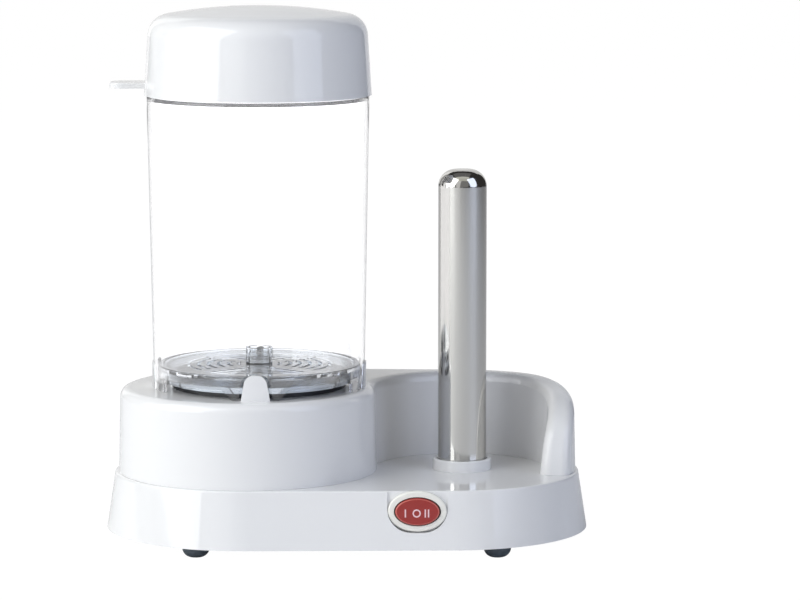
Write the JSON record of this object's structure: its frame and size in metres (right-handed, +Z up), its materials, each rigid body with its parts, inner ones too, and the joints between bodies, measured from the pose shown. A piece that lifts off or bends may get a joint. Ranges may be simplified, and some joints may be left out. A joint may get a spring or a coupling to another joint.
{
  "type": "hot dog toaster",
  "caption": "Countertop sausage steamer with a clear drafted cylinder, domed lid and slotted tray beside an upright bread toasting rod in a splash bay, with an oval three-position rocker switch.",
  "frame": {"origin": "on the ground under the centre of the base, at the bottom of the feet", "axes": "+X towards the toasting rod, +Y towards the back where the cord enters, +Z up; the switch faces -Y"},
  "size_m": [0.2592, 0.1524, 0.2878],
  "materials": {
    "white_plastic": "glossy",
    "clear_plastic": "glossy clear",
    "cream_plastic": "satin",
    "red_plastic": "glossy",
    "mark_paint": "matte",
    "black_plastic": "matte",
    "rubber": "matte",
    "steel": "polished",
    "plated_steel": "plated",
    "aluminium": "cast",
    "silicone": "matte",
    "wire_sleeve": "matte",
    "brass": "plain"
  },
  "bodies": {
    "base": {"bottom_cover": "white_plastic", "cord_gland": "black_plastic", "cover_screws": "plated_steel", "foot_front_left": "rubber", "foot_front_right": "rubber", "foot_rear_left": "rubber", "foot_rear_right": "rubber", "gland_nut": "black_plastic", "heater_plate": "aluminium", "lead_pan": "wire_sleeve", "lead_pan_return": "wire_sleeve", "lead_rod": "wire_sleeve", "lead_supply": "wire_sleeve", "main_housing": "white_plastic", "pan_clamp": "plated_steel", "pan_clamp_screws": "plated_steel", "pan_gasket": "silicone", "pan_heater": "plated_steel", "pan_thermostat": "black_plastic", "rod_collar": "white_plastic", "rod_flange": "plated_steel", "rod_flange_screws": "plated_steel", "rod_heater": "plated_steel", "rod_heater_spacers": "cream_plastic", "switch_bezel": "cream_plastic", "switch_body": "black_plastic", "switch_pivot_pin": "plated_steel", "switch_terminals": "brass", "terminal_block": "cream_plastic", "terminal_block_screws": "plated_steel", "thermal_fuse": "plated_steel", "toasting_rod": "steel", "tower_shell": "white_plastic", "water_pan": "steel"},
    "steam_hood": {"steam_cylinder": "clear_plastic"},
    "lid": {"lid": "white_plastic"},
    "tray": {"sausage_tray": "clear_plastic"},
    "rocker": {"switch_rocker": "red_plastic", "rocker_marks": "mark_paint"}
  },
  "joints": [
    {"name": "hood_lift", "type": "slide", "parent": "base", "child": "steam_hood", "axis": [0, 0, 1], "range_m": [0, 0.15]},
    {"name": "lid_lift", "type": "slide", "parent": "steam_hood", "child": "lid", "axis": [0, 0, 1], "range_m": [0, 0.1]},
    {"name": "tray_lift", "type": "slide", "parent": "base", "child": "tray", "axis": [0, 0, 1], "range_m": [0, 0.12]},
    {"name": "rocker_tilt", "type": "hinge", "parent": "base", "child": "rocker", "pos_m": [0.0378, -0.06801, 0.0276], "axis": [0, 0, 1], "range_deg": [-7, 7]}
  ]
}
